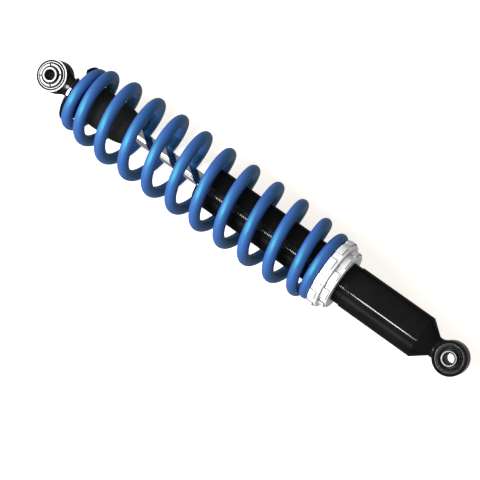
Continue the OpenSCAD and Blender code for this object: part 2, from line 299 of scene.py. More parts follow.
def settle(obj, body, slot, *replaced):
    """Gives a finished piece its body and hides the CAD nodes that it stands for. slot is not used."""
    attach(obj, body)
    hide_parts(*replaced)
    return obj


# ---------------------------------------------------------------------------------------------------------
# Materials
# ---------------------------------------------------------------------------------------------------------


class Finish:
    """A Principled material with procedural layers for its colour, roughness and relief."""

    def __init__(self, name, **sockets):
        self.material = bpy.data.materials.new(name)
        self.material.use_nodes = True
        self.tree = self.material.node_tree
        self.shader = self.tree.nodes["Principled BSDF"]
        for socket, value in sockets.items():
            self.shader.inputs[socket.replace("_", " ")].default_value = value
        self.where = self.add("ShaderNodeTexCoord").outputs["Object"]

    def add(self, kind, **settings):
        node = self.tree.nodes.new(kind)
        for key, value in settings.items():
            setattr(node, key, value)
        return node

    def link(self, source, target):
        self.tree.links.new(source, target)

    def math(self, operation, a, b=None):
        node = self.add("ShaderNodeMath", operation=operation)
        for socket, value in zip(node.inputs, (a, b)):
            if isinstance(value, bpy.types.NodeSocket):
                self.link(value, socket)
            elif value is not None:
                socket.default_value = value
        return node.outputs[0]

    def turned(self, axis, centre_m=0.0):
        """(radius, along) about an axis, for marks left by turning."""
        split = self.add("ShaderNodeSeparateXYZ")
        self.link(self.where, split.inputs[0])
        x, y, z = split.outputs
        across, along = (y, z) if axis == "Z" else (self.math("SUBTRACT", z, centre_m), y)
        squares = [self.math("POWER", value, 2.0) for value in (x, across)]
        radius = self.math("SQRT", self.math("ADD", *squares))
        joined = self.add("ShaderNodeCombineXYZ")
        self.link(radius, joined.inputs[0])
        self.link(along, joined.inputs[1])
        return joined.outputs[0]

    def noise(self, size_mm, detail=3.0, where=None, stretch=None, rough=0.55):
        """Noise whose lumps are about size_mm across."""
        source = where or self.where
        if stretch:
            mapping = self.add("ShaderNodeMapping")
            mapping.inputs["Scale"].default_value = stretch
            self.link(source, mapping.inputs["Vector"])
            source = mapping.outputs[0]
        node = self.add("ShaderNodeTexNoise")
        node.inputs["Scale"].default_value = 1 / (size_mm * MM)
        node.inputs["Detail"].default_value = detail
        node.inputs["Roughness"].default_value = rough
        self.link(source, node.inputs["Vector"])
        return node.outputs["Fac"]

    def pores(self, size_mm):
        node = self.add("ShaderNodeTexVoronoi")
        node.inputs["Scale"].default_value = 1 / (size_mm * MM)
        self.link(self.where, node.inputs["Vector"])
        return node.outputs["Distance"]

    def spread(self, value, low, high, start=0.3, end=0.7):
        """value from start to end becomes low to high."""
        node = self.add("ShaderNodeMapRange")
        self.link(value, node.inputs["Value"])
        for socket, number in zip(("From Min", "From Max", "To Min", "To Max"), (start, end, low, high)):
            node.inputs[socket].default_value = number
        return node.outputs["Result"]

    def colour(self, value, *stops):
        """Base colour that goes through stops of (position, colour) as value rises."""
        ramp = self.add("ShaderNodeValToRGB")
        elements = ramp.color_ramp.elements
        while len(elements) < len(stops):
            elements.new(0.5)
        for element, (position, rgb) in zip(elements, stops):
            element.position = position
            element.color = (*rgb, 1.0)
        self.link(value, ramp.inputs["Fac"])
        self.link(ramp.outputs["Color"], self.shader.inputs["Base Color"])

    def roughness(self, value, low, high):
        self.link(self.spread(value, low, high), self.shader.inputs["Roughness"])

    def relief(self, *layers):
        """Bump from layers of (value, depth in millimetres)."""
        normal = None
        for value, depth in layers:
            bump = self.add("ShaderNodeBump")
            bump.inputs["Distance"].default_value = depth * MM
            self.link(value, bump.inputs["Height"])
            if normal:
                self.link(normal, bump.inputs["Normal"])
            normal = bump.outputs["Normal"]
        self.link(normal, self.shader.inputs["Normal"])


def shades(rgb, *factors):
    """A colour made darker or lighter by each factor."""
    return [tuple(min(1.0, channel * factor) for channel in rgb) for factor in factors]


def black_gloss():
    """Powder coat. It is partly metallic with a dark edge tint, so that its edges stay dark in soft light."""
    f = Finish("black_gloss", Metallic=0.7, Specular_IOR_Level=0.1,
               Specular_Tint=(0.12, 0.12, 0.12, 1.0))
    drift, peel = f.noise(30, 2), f.noise(1.6, 2)
    dark, light = shades((0.0160, 0.0161, 0.0168), 0.85, 1.2)
    f.colour(drift, (0.35, dark), (0.65, light))
    f.roughness(f.noise(9, 4), 0.06, 0.10)
    f.relief((peel, 0.0006))
    return f.material


def blue_enamel():
    """Satin blue coat whose sheen is greener than its body colour."""
    f = Finish("blue_enamel", Specular_IOR_Level=1.0, Specular_Tint=(0.12, 1.0, 0.66, 1.0))
    drift, flake = f.noise(22, 3), f.noise(0.35, 2)
    dark, middle, light = shades((0.029, 0.066, 0.27), 0.88, 1.0, 1.12)
    f.colour(drift, (0.3, dark), (0.5, middle), (0.7, light))
    f.roughness(f.noise(6, 4), 0.44, 0.51)
    f.relief((f.noise(1.9, 2), 0.010), (flake, 0.0015))
    return f.material


def turned_metal(name, rgb, rough, line_mm=0.22, depth=0.004, axis="Z", centre_m=0.0, grime=0.9):
    """Bare or plated metal with fine turning marks and faint staining."""
    f = Finish(name, Metallic=1.0)
    lines = f.noise(line_mm, 3, where=f.turned(axis, centre_m), rough=0.7)
    stain = f.noise(7, 5)
    dark, light = shades(rgb, grime, 1.0)
    f.colour(stain, (0.32, dark), (0.6, light))
    f.roughness(f.noise(2.5, 4), rough * 0.85, rough * 1.25)
    f.relief((lines, depth))
    return f.material


def milled_aluminium():
    f = Finish("milled_aluminium", Metallic=0.3)
    lines = f.noise(0.3, 3, where=f.turned("Z"), rough=0.7)
    cloud = f.noise(11, 4)
    dark, light = shades((0.94, 0.94, 0.95), 0.94, 1.0)
    f.colour(cloud, (0.35, dark), (0.6, light))
    f.roughness(f.noise(3, 4), 0.26, 0.38)
    f.relief((lines, 0.005), (f.noise(0.5, 2), 0.003))
    return f.material


def ground_chrome():
    f = Finish("ground_chrome", Metallic=1.0)
    lines = f.noise(0.12, 2, where=f.turned("Z"), rough=0.6)
    dark, light = shades((0.56, 0.57, 0.58), 0.97, 1.0)
    f.colour(f.noise(12, 3), (0.3, dark), (0.7, light))
    f.roughness(f.noise(4, 4), 0.045, 0.085)
    f.relief((lines, 0.0006))
    return f.material


def moulded_rubber(name, shade=0.011, rough=0.5):
    f = Finish(name, Specular_IOR_Level=0.35)
    dark, light = shades((shade, shade, shade * 1.03), 0.75, 1.3)
    f.colour(f.noise(5, 4), (0.3, dark), (0.7, light))
    f.roughness(f.noise(1.8, 4), rough - 0.07, rough + 0.1)
    f.relief((f.noise(0.45, 3), 0.02), (f.noise(3.5, 2), 0.03))
    return f.material


def closed_cell_foam():
    f = Finish("closed_cell_foam", Specular_IOR_Level=0.2)
    dark, light = shades((0.0085, 0.0085, 0.0088), 0.7, 1.35)
    f.colour(f.noise(2.5, 5), (0.3, dark), (0.7, light))
    f.roughness(f.noise(1.2, 3), 0.72, 0.9)
    f.relief((f.pores(0.7), 0.05), (f.noise(6, 3), 0.08))
    return f.material


def plain_table():
    """A warm white sheet that is clear from behind."""
    f = Finish("plain_table", Roughness=0.6, Specular_IOR_Level=0.25,
               Emission_Color=(1.0, 0.95, 0.89, 1.0), Emission_Strength=0.8)
    f.colour(f.noise(60, 3), (0.3, (0.49, 0.49, 0.49)), (0.7, (0.51, 0.51, 0.51)))
    facing = f.add("ShaderNodeNewGeometry").outputs["Backfacing"]
    mix, clear = f.add("ShaderNodeMixShader"), f.add("ShaderNodeBsdfTransparent")
    f.link(facing, mix.inputs[0])
    f.link(f.shader.outputs[0], mix.inputs[1])
    f.link(clear.outputs[0], mix.inputs[2])
    f.link(mix.outputs[0], f.tree.nodes["Material Output"].inputs["Surface"])
    return f.material


BLACK = black_gloss()
BLUE = blue_enamel()
CHROME = ground_chrome()
NUT = milled_aluminium()
FOAM = closed_cell_foam()
RUBBER = moulded_rubber("bush_rubber")
ZINC = turned_metal("bright_zinc", (0.80, 0.81, 0.83), 0.2)
# The eyes' faces are darker than bare metal, so that the key light doesn't burn out their grooves
STEEL = turned_metal("satin_steel", (0.26, 0.26, 0.27), 0.38, axis="Y", depth=0.002)
# Worn paint on the lower bush's edges; on the upper seat's rim, a painted highlight.
WORN_AND_GLINT = turned_metal("worn_edge_and_rim_glint", (0.85, 0.85, 0.85), 0.4, axis="Y", depth=0.002)
# Painted shade: nearly black, for the shade inside the bushes' bolt holes.
BORE_SHADE = turned_metal("bore_painted_shade", (0.03, 0.03, 0.032), 0.5, axis="Y")
FACED = turned_metal("faced_aluminium", (0.27, 0.27, 0.28), 0.38, line_mm=0.3, axis="Y",
                     centre_m=eye_z["upper"] * MM)
# Painted shade for the nuts' tooth flanks and steps.
NUT_STEP_SHADE = turned_metal("nut_step_painted_shade", (0.2, 0.2, 0.205), 0.4)

FINISHES = {
    "gloss_black": BLACK,
    "plated_steel": ZINC,
    "black_steel": BLACK,
    "bright_ring": STEEL,
    "bush_rubber": RUBBER,
    "copper": turned_metal("soft_copper", (0.78, 0.36, 0.20), 0.3, axis="Y", centre_m=PORT_Z * MM),
    "machined_aluminium": turned_metal("turned_aluminium", (0.66, 0.67, 0.69), 0.3),
    "bronze": turned_metal("sintered_bronze", (0.58, 0.38, 0.18), 0.42, line_mm=0.5, grime=0.75),
    "seal_rubber": moulded_rubber("nitrile", 0.014, 0.42),
    "spring_steel": turned_metal("blued_steel", (0.20, 0.21, 0.25), 0.28, grime=0.8),
    "blue_spring": BLUE,
    "nut_aluminium": NUT,
    "chrome_shaft": CHROME,
    "bump_foam": FOAM,
    "ptfe_band": moulded_rubber("filled_ptfe", 0.09, 0.45),
}


def dress_cad_nodes():
    """Every carried-over CAD node gets its slot's finish."""
    for name, node in nodes.items():
        node.data.materials.clear()
        node.data.materials.append(FINISHES[slot_of[name]])
        for polygon in node.data.polygons:
            polygon.material_index = 0


# ---------------------------------------------------------------------------------------------------------
# Damper body
# ---------------------------------------------------------------------------------------------------------


def thread_grid(z_low, z_high, crest_r, columns):
    """Points and faces of an outside thread: rows that follow the helix, with both ends run out flat."""
    section = [(0.0, 0.0), (0.25, 0.0), (0.48, 0.0), (0.55, 0.12), (0.64, 0.9), (0.70, 1.0), (0.80, 1.0),
               (0.86, 0.9), (0.95, 0.12)]
    height, depth = np.array(section).T
    pitches = int((z_high - z_low) / THREAD_PITCH) + 3
    count = len(section)
    height = (np.arange(pitches)[:, None] + height).ravel() * THREAD_PITCH
    depth = np.tile(depth, pitches)
    turns = even_turns(columns)
    z = z_low - THREAD_PITCH + height[:, None] + THREAD_PITCH * turns[None, :] / (2 * math.pi)
    run_out = 1.5 * THREAD_PITCH
    share = np.clip((z - z_low) / run_out, 0, 1) * np.clip((z_high - z) / run_out, 0, 1)
    radius = crest_r - THREAD_DEPTH * depth[:, None] * share
    points = around_z(radius, turns[None, :], np.clip(z, z_low, z_high))
    rows = len(z)
    faces = []
    for i in range(rows - 1):
        for j in range(columns):
            seam = j == columns - 1
            right = (min(i + count, rows - 1) if seam else i) * columns + (j + 1) % columns
            above = (min(i + 1 + count, rows - 1) if seam else i + 1) * columns + (j + 1) % columns
            faces.append((i * columns + j, right, above, (i + 1) * columns + j))
    return points.reshape(-1, 3), faces


def damper_tube():
    low, high = extent("body_tube")
    plain_r = extent("body_tube", 0)[1]
    crest_r = THREAD_CREST_R
    columns = 80
    thread_top = high - 1.6
    thread, faces = thread_grid(THREAD_Z, thread_top, crest_r, columns)
    rest = outline([
        (crest_r, thread_top), (crest_r, high - 0.7), (crest_r - 0.7, high), (TUBE_BORE_R + 0.4, high, 0.2),
        (TUBE_BORE_R, high - 0.5), (TUBE_BORE_R, low), (plain_r, low, 0.25), (plain_r, THREAD_Z - 0.7, 0.3),
        (crest_r, THREAD_Z),
    ], closed=False)
    rings = around_z(rest[:, :1], even_turns(columns)[None, :], rest[:, 1:])
    faces += ring_faces(len(rest), columns, start=len(thread))
    tube = new_object("damper_tube", np.concatenate([thread, rings.reshape(-1, 3)]), faces, BLACK)
    finish_mesh(tube, soften=False)
    face_y = extent("gas_fill_washer", 1)[0]
    port = revolve(
        "port_cutter",
        [(0, 15), (3.05, 15), (3.05, face_y), (5.7, face_y), (5.7, plain_r + 5), (0, plain_r + 5)],
        BLACK, around_y, PORT_Z, count=48, loop=False)
    subtract(tube, port)
    return settle(tube, "body", "gloss_black", "body_tube")


def eye_ring(name, centre, material):
    """The round eye with chamfered mouths."""
    half = [
        (EYE_BORE_R, EYE_HALF_W - 0.8), (EYE_BORE_R + 0.85, EYE_HALF_W, 0.1),
        (EYE_R, EYE_HALF_W, 0.5),
    ]
    return revolve(name, mirrored(half), material, around_y, centre, count=128)


def eye_neck(name, centre, way, corners, neck_r, fillet, material):
    """The neck that carries an eye, from its far end to a fillet that dies out in the eye's round side.

    way is +1 when the neck rises from the eye and -1 when it hangs below it; corners are (radius, distance
    from the eye's centre), from the far end to the neck."""
    turns = even_turns(128)[None, :]
    side = 0.2 + (fillet - 0.2) * np.cos(turns) ** 2

    def eye_height(radius, over_r):
        across = radius * np.cos(turns)
        return np.sqrt(np.maximum(over_r**2 - across**2, 0.0))

    points = outline(corners, closed=False)
    rings = [around_z(r, turns, centre + way * s) for r, s in points]
    for bend in np.radians(np.linspace(0, 90, 9)):
        radius = neck_r + side * (1 - math.cos(bend))
        distance = eye_height(radius, EYE_R) + side * (1 - math.sin(bend))
        rings.append(around_z(radius, turns, centre + way * distance))
    sunk_r = (EYE_R + EYE_BORE_R) / 2
    for share in (1.0, 0.66, 0.33, 0.0):
        radius = (neck_r + side) * share
        rings.append(around_z(radius, turns, centre + way * eye_height(radius, sunk_r)))
    return skin(name, rings, material, loop=False)


def lower_end_cap():
    tube_low = extent("body_tube")[0]
    plain_r = extent("body_tube", 0)[1]
    centre = eye_z["lower"]
    plug_top = extent("lower_eye")[1]
    cone_h = (plain_r - LOWER_NECK_R) * CONE_SLOPE
    corners = [
        (0, plug_top), (TUBE_BORE_R - 0.05, plug_top, 0.6), (TUBE_BORE_R - 0.05, tube_low - 0.02),
        (plain_r - 0.15, tube_low - 0.02, 0.2), (plain_r - 0.35, tube_low - 0.6, 0.3),
        (LOWER_NECK_R, tube_low - 0.6 - cone_h, 4.0), (LOWER_NECK_R, 18.6),
    ]
    neck = eye_neck("lower_eye_forging", centre, 1, corners, LOWER_NECK_R, 3.2, BLACK)
    ring = eye_ring("lower_eye_ring", centre, BLACK)
    combine(neck, ring, "UNION")
    return settle(neck, "body", "gloss_black", "lower_eye")


def upper_eye_forging():
    centre = eye_z["upper"]
    neck_foot = centre - extent("upper_eye")[0]
    corners = [
        (0, 15.9), (STUD_R, 15.9), (STUD_R, neck_foot - 0.6), (STUD_R + 0.6, neck_foot, 0.1),
        (UPPER_NECK_R, neck_foot, 0.7), (UPPER_NECK_R, 20.8),
    ]
    neck = eye_neck("upper_eye_forging", centre, -1, corners, UPPER_NECK_R, 6.5, BLACK)
    ring = eye_ring("upper_eye_ring", centre, BLACK)
    combine(neck, ring, "UNION")
    hole_r = SET_SCREW_R + 0.05
    hole_z = sum(extent("eye_set_screw")) / 2
    hole = revolve("set_screw_cutter", [(0, -5), (hole_r, -5), (hole_r, -15), (0, -15)],
                   BLACK, around_y, hole_z, count=32, loop=False)
    subtract(neck, hole)
    paint(neck, centre, FACED, lambda r, along, facing: facing > 0.97 and along > EYE_HALF_W - 0.05)
    return settle(neck, "shaft_group", "gloss_black", "upper_eye")


def paint(obj, centre, finish, chosen):
    """Gives a finish to the faces that chosen(radius, along, facing) picks, about an eye's bolt hole.

    facing is 1 for a face square to the hole and 0 for one along it."""
    obj.data.materials.append(finish)
    index = len(obj.data.materials) - 1
    for polygon in obj.data.polygons:
        x, y, z = polygon.center / MM
        if chosen(math.hypot(x, z - centre), abs(y), abs(polygon.normal.y)):
            polygon.material_index = index


# ---------------------------------------------------------------------------------------------------------
# Bushes
# ---------------------------------------------------------------------------------------------------------


def bush_collars(name, centre, material):
    """The slotted ring on each end of a bush."""
    flank = [(-0.3, 0.0), (-0.05, 0.06), (0.0, 0.5), (0.05, 0.94), (0.2, 1.0)]
    middle_r = (COLLAR_IN_R + COLLAR_OUT_R) / 2
    turns, slot = plateau_turns(
        COLLAR_SLOTS, COLLAR_SLOT_W, middle_r, math.radians(COLLAR_SLOT_DEG), flank)
    section = outline([
        (COLLAR_IN_R, COLLAR_FOOT), (COLLAR_OUT_R, COLLAR_FOOT),
        (COLLAR_OUT_R, COLLAR_HALF_W, 0.35), (COLLAR_IN_R, COLLAR_HALF_W, 0.35)])
    cut = np.clip(section[:, 1:] - (COLLAR_HALF_W - COLLAR_SLOT_DEPTH), 0, None) * slot[None, :]
    along = section[:, 1:] - cut
    vertices, faces = [], []
    for side in (-1, 1):
        rings = around_y(section[:, :1], turns[None, :], side * along, centre)
        faces += ring_faces(len(section), len(turns), loop=True, start=len(vertices))
        vertices += rings.reshape(-1, 3).tolist()
    return finish_mesh(new_object(name, vertices, faces, material))


def bush(which, body, sleeve_body, worn, shell_slot, collar_slot):
    """A bush whose end faces are bright, with its casing's chamfers and its collars' slots and sides left
    black as painted shade in the grooves, or with worn on, painted black and rubbed bright at its edges.
    """
    centre = eye_z[which]
    shell = revolve(
        f"{which}_bush_casing",
        mirrored([(SHELL_IN_R, SHELL_HALF_W - 0.4), (SHELL_IN_R + 0.35, SHELL_HALF_W, 0.1),
                  (EYE_BORE_R - 0.8, SHELL_HALF_W, 0.1), (EYE_BORE_R - 0.55, SHELL_HALF_W - 0.25),
                  (EYE_BORE_R, SHELL_HALF_W - 0.8)]),
        BLACK, around_y, centre)
    if worn:
        paint(shell, centre, WORN_AND_GLINT, lambda r, along, facing: 0.1 < facing < 0.97 and r < EYE_BORE_R - 0.5)
    else:
        # Painted shade: only the casing's end faces are steel; its chamfers and sides stay black for the
        # shade in the grooves.
        paint(shell, centre, STEEL, lambda r, along, facing: facing > 0.97)
    settle(shell, body, shell_slot, f"{which}_bush_shell")
    rubber = revolve(
        f"{which}_bush_elastomer",
        mirrored([(SLEEVE_R + TURNING_GAP, RUBBER_HALF_W, 0.2), (COLLAR_IN_R - 0.1, RUBBER_HALF_W, 0.3),
                  (COLLAR_IN_R, COLLAR_FOOT), (COLLAR_OUT_R, COLLAR_FOOT),
                  (COLLAR_OUT_R + 0.1, RUBBER_HALF_W - 0.1, 0.2), (SHELL_IN_R, RUBBER_HALF_W - 0.4)]),
        RUBBER, around_y, centre)
    settle(rubber, body, "bush_rubber", f"{which}_bush_rubber")
    collars = bush_collars(f"{which}_bush_collars", centre, BLACK)
    if worn:
        paint(collars, centre, WORN_AND_GLINT,
              lambda r, along, facing: along > COLLAR_HALF_W - 0.25 and 0.3 < facing < 0.8)
    else:
        # Painted shade: only the collars' top faces are steel; their slots and sides stay black for the shade
        # in them.
        paint(collars, centre, STEEL,
              lambda r, along, facing: along > COLLAR_HALF_W - 0.3 and facing > 0.5)
    settle(collars, body, collar_slot, f"{which}_bush_rings")
    half_length = extent(f"{which}_bush_sleeve", 1)[1]
    bore_r = frame["record"]["mounts"][0]["dims"]["r_mm"]
    sleeve = revolve(
        f"{which}_bush_spacer",
        mirrored([(bore_r, half_length - 0.8), (bore_r + 0.35, half_length - 0.45),
                  (bore_r + 0.8, half_length, 0.1), (bore_r + 1.25, half_length),
                  (SLEEVE_R, half_length, 0.4)]),
        STEEL, around_y, centre)
    # Painted shade: the bore's wall is made nearly black, for the shade inside the hole.
    paint(sleeve, centre, BORE_SHADE, lambda r, along, facing: r < bore_r + 0.3)
    if worn:
        paint(sleeve, centre, BLACK,
              lambda r, along, facing: r > bore_r + 0.3 and (facing < 0.97 or r < bore_r + 1.25))
    settle(sleeve, sleeve_body, "plated_steel", f"{which}_bush_sleeve")


# ---------------------------------------------------------------------------------------------------------
# Nuts, seats and small parts
# ---------------------------------------------------------------------------------------------------------


def ring_nut(name, node, body, tooth_r, teeth, tooth_deg, phase_deg, rim, recess_r=None):
    """A ring nut with spanner teeth that stop short of its lower rim."""
    low, high = extent(node)
    tooth_h, bore_r = 1.5, NUT_BORE_R
    floor_r = tooth_r - tooth_h
    flank = [(-0.5, 0.0), (-0.2, 0.05), (-0.06, 0.22), (0.02, 0.72), (0.14, 0.93), (0.42, 1.0)]
    turns, raised = plateau_turns(
        teeth, math.radians(tooth_deg) * tooth_r, tooth_r, math.radians(phase_deg), flank)
    step = low + rim
    rows = [
        (bore_r, 0, low + 0.6), (bore_r + 0.6, 0, low), (floor_r - 0.8, 0, low),
        (floor_r - 0.3, 0, low + 0.08), (floor_r - 0.05, 0, low + 0.35), (floor_r, 0, low + 0.8),
        (floor_r, 0, step - 0.3),
        (floor_r, 0.06, step - 0.04), (floor_r, 0.8, step), (floor_r, 0.96, step + 0.15),
        (floor_r, 1, step + 0.5), (floor_r, 1, high - 0.9), (floor_r - 0.08, 1, high - 0.5),
        (floor_r - 0.25, 1, high - 0.15), (floor_r - 0.5, 1, high - 0.02), (floor_r - 0.8, 1, high),
    ]
    if recess_r:
        rows += [(recess_r + 0.15, 0, high), (recess_r, 0, high - 0.15), (recess_r, 0, high - 1.1)]
        rows += [(bore_r + 0.6, 0, high - 1.1), (bore_r, 0, high - 1.7)]
    else:
        rows += [(bore_r + 0.6, 0, high), (bore_r, 0, high - 0.6)]
    base, share, along = np.array(rows).T[:, :, None]
    radius = base + tooth_h * share * raised[None, :]
    nut = skin(name, around_z(radius, turns[None, :], along), NUT, sharp_deg=50)
    # Painted shade on the teeth's flanks and steps.
    paint_step_shade(nut, floor_r, step)
    return settle(nut, body, "nut_aluminium", node)


def paint_step_shade(nut, floor_r, step):
    """Painted shade: the teeth's flanks and the undersides of their steps get a darker finish, for the shade
    that falls there.
    """
    nut.data.materials.append(NUT_STEP_SHADE)
    for polygon in nut.data.polygons:
        x, y, z = polygon.center / MM
        radius = math.hypot(x, y)
        outwards = (x * polygon.normal.x + y * polygon.normal.y) / radius
        under = polygon.normal.z < -0.6 and abs(z - step) < 0.3
        if radius > floor_r + 0.05 and (abs(outwards) < 0.75 and abs(polygon.normal.z) < 0.5 or under):
            polygon.material_index = 1


def hexagon(across_flats, turns, flat_towards=0.0):
    """Radius of a hexagon at each turn."""
    sector = (turns - flat_towards + math.pi / 6) % (math.pi / 3) - math.pi / 6
    return across_flats / 2 / np.cos(sector)


def jam_nut():
    low, high = extent("jam_nut")
    across = 19.0
    turns = even_turns(144)[None, :]
    corner = hexagon(across, turns, math.radians(-95))
    face_r = across / 2 - 0.2
    slope = np.maximum(corner - face_r, 0) * math.tan(math.radians(30))
    rings = [
        around_z(STUD_R, turns, low), around_z(face_r, turns, low), around_z(corner, turns, low + slope),
        around_z(corner, turns, high - slope), around_z(face_r, turns, high), around_z(STUD_R, turns, high),
    ]
    return settle(skin("jam_nut_chamfered", rings, ZINC), "shaft_group", "plated_steel", "jam_nut")


def socket_screw(name, node, body, way, corners, across, depth, centre):
    """A screw along Y with a hexagon socket. corners run from the shank's tip to the edge of its face."""
    turns = even_turns(72)[None, :]
    points = outline(corners, closed=False)
    rings = [around_y(r, turns, way * along, centre) for r, along in points]
    face = points[-1][1]
    socket = hexagon(across, turns)
    rings += [around_y(socket + 0.15, turns, way * face, centre)]
    rings += [around_y(socket, turns, way * (face - 0.15), centre)]
    rings += [around_y(socket, turns, way * (face - depth), centre)]
    rings += [around_y(0.0 * turns, turns, way * (face - depth - 0.5), centre)]
    screw = skin(name, rings, STEEL, loop=False)
    return settle(screw, body, "plated_steel", node)


def small_screws():
    set_z = sum(extent("eye_set_screw")) / 2
    tip, face = sorted(abs(y) for y in extent("eye_set_screw", 1))
    socket_screw("neck_set_screw", "eye_set_screw", "shaft_group", -1,
                 [(0, tip), (1.1, tip), (SET_SCREW_R, tip + 0.5), (SET_SCREW_R, face, 0.25), (1.35, face)],
                 1.8, 0.9, set_z)
    tip, face = extent("gas_fill_screw", 1)
    seat = extent("gas_fill_washer", 1)[1]
    socket_screw("gas_port_screw", "gas_fill_screw", "body", 1,
                 [(0, tip), (2.4, tip), (3, tip + 0.6), (3, seat), (4.6, seat, 0.15), (4.6, face, 0.5),
                  (3.9, face)], 4.6, 2.0, PORT_Z)


def upper_seat():
    low, high = extent("upper_spring_seat")
    flange_r = extent("upper_spring_seat", 0)[1]
    flange_low = high - 2.8
    spigot_r, bore_r = 22.5, 7.05
    seat = revolve("upper_seat_cup", [
        (bore_r, low + 0.5), (bore_r + 0.5, low), (spigot_r, low, 1.2), (spigot_r, flange_low, 0.8),
        (flange_r, flange_low, 0.5), (flange_r, high, 1.0), (13.5, high, 0.4), (13.0, high - 0.5, 0.3),
        (bore_r + 0.5, high - 0.5), (bore_r, high - 1.0),
    ], BLACK, count=128)
    subtract(seat, seat_slot(low - 1, high + 1))
    # Painted highlight: a short stretch of the rim at its front gets bright metal, where a glint shows.
    seat.data.materials.append(WORN_AND_GLINT)
    for polygon in seat.data.polygons:
        x, y, z = polygon.center / MM
        at_front = abs(math.degrees(math.atan2(y, x)) - RIM_GLINT_DEG) < 7
        if at_front and math.hypot(x, y) > flange_r - 0.6 and z > flange_low + 0.4:
            polygon.material_index = 1
    return settle(seat, "upper_seat", "gloss_black", "upper_spring_seat")


def seat_slot(low, high):
    """The slot that lets the upper seat be slipped over the shaft, as a block from the axis outwards."""
    reach = 60
    turn = math.radians(SEAT_SLOT_DEG)
    along = np.array([math.cos(turn), math.sin(turn), 0])
    across = np.array([-math.sin(turn), math.cos(turn), 0])
    corners = ((0, -1), (1, -1), (1, 1), (0, 1))
    floor = [across * SEAT_SLOT_HALF_W * b + along * reach * a for a, b in corners]
    rings = [[point + [0, 0, z] for point in floor] for z in (low, high)]
    faces = [(0, 1, 2, 3), (4, 5, 6, 7)] + ring_faces(2, 4)
    return finish_mesh(new_object("seat_slot", rings, faces, BLACK), soften=False)


def bump_stop():
    low, high = extent("bump_stop")
    full_r = extent("bump_stop", 0)[1]
    nose_r, nose_h, bore_r = 13.0, 24.0, 7.0
    nose = [
        (nose_r + (full_r - nose_r) * math.sin(a), low + nose_h * (1 - math.cos(a)))
        for a in np.radians(np.linspace(12, 90, 10))
    ]
    stop = revolve("bump_stop_foam", [
        (bore_r, low + 1.2), (bore_r + 1.0, low, 0.5), (nose_r, low, 1.4), *nose,
        (full_r, high, 1.6), (bore_r + 0.8, high, 0.5), (bore_r, high - 1.0),
    ], FOAM)
    return settle(stop, "shaft_group", "bump_foam", "bump_stop")


# ---------------------------------------------------------------------------------------------------------
# Spring
# ---------------------------------------------------------------------------------------------------------


def step_area(x):
    """Area under a pitch step that opens over a unit length."""
    return 0.0 if x <= 0 else x * x / 2 if x < 1 else x - 0.5


def end_rise(turn, start, pitch):
    """Rise from an end of the centreline, whose pitch opens in two steps."""
    length, change = FIRST_STEP
    second, second_length = SECOND_STEP
    return (
        TIP_PITCH * turn
        + change * length * step_area((turn - start) / length)
        + (pitch - TIP_PITCH - change) * second_length * step_area((turn - second) / second_length)
    )


def active_pitch(rise):
    """Active pitch that makes the two ends meet half way along the spring."""
    half = COIL_TURNS / 2
    start = (LOW_STEP_AT + HIGH_STEP_AT) / 2
    length, change = FIRST_STEP
    fixed = TIP_PITCH * half + change * (half - start - length / 2)
    late = half - SECOND_STEP[0] - SECOND_STEP[1] / 2
    return TIP_PITCH + change + (rise / 2 - fixed) / late


def coil_radius(turn):
    """The centreline's radius, drawn in at both ends."""
    def taper(from_end):
        return max(0.0, 1 - from_end / TAPER_TURNS) ** TAPER_POWER

    return (COIL_D - LOWER_TAPER * taper(turn) - UPPER_TAPER * taper(COIL_TURNS - turn)) / 2


def spring_line():
    """The wire's centreline, each point's share of the stroke, and the wire's radius there."""
    low, high = extent("coil_spring")
    low, high = low + WIRE_R, high - WIRE_R
    pitch = active_pitch(high - low)
    tip = 1.2 / (math.pi * COIL_D)  # turns over which the wire's ends are rounded
    turns = list(np.linspace(0, COIL_TURNS, int(COIL_TURNS * STEPS_PER_TURN) + 1))
    near_ends = [tip * k for k in (0.15, 0.5, 1)]
    turns = sorted(turns + near_ends + [COIL_TURNS - turn for turn in near_ends])
    line, shares, radii = [], [], []
    for turn in turns:
        if turn < COIL_TURNS / 2:
            z = low + end_rise(turn, LOW_STEP_AT, pitch)
        else:
            z = high - end_rise(COIL_TURNS - turn, HIGH_STEP_AT, pitch)
        angle = COIL_START + 2 * math.pi * turn
        line.append((coil_radius(turn) * math.cos(angle), coil_radius(turn) * math.sin(angle), z))
        shares.append(min(1.0, max(0.0, (turn - DEAD_TURNS) / (COIL_TURNS - 2 * DEAD_TURNS))))
        to_end = min(turn, COIL_TURNS - turn) / tip
        radii.append(WIRE_R * (1 - 0.12 * max(0.0, 1 - to_end) ** 2))
    return line, shares, radii


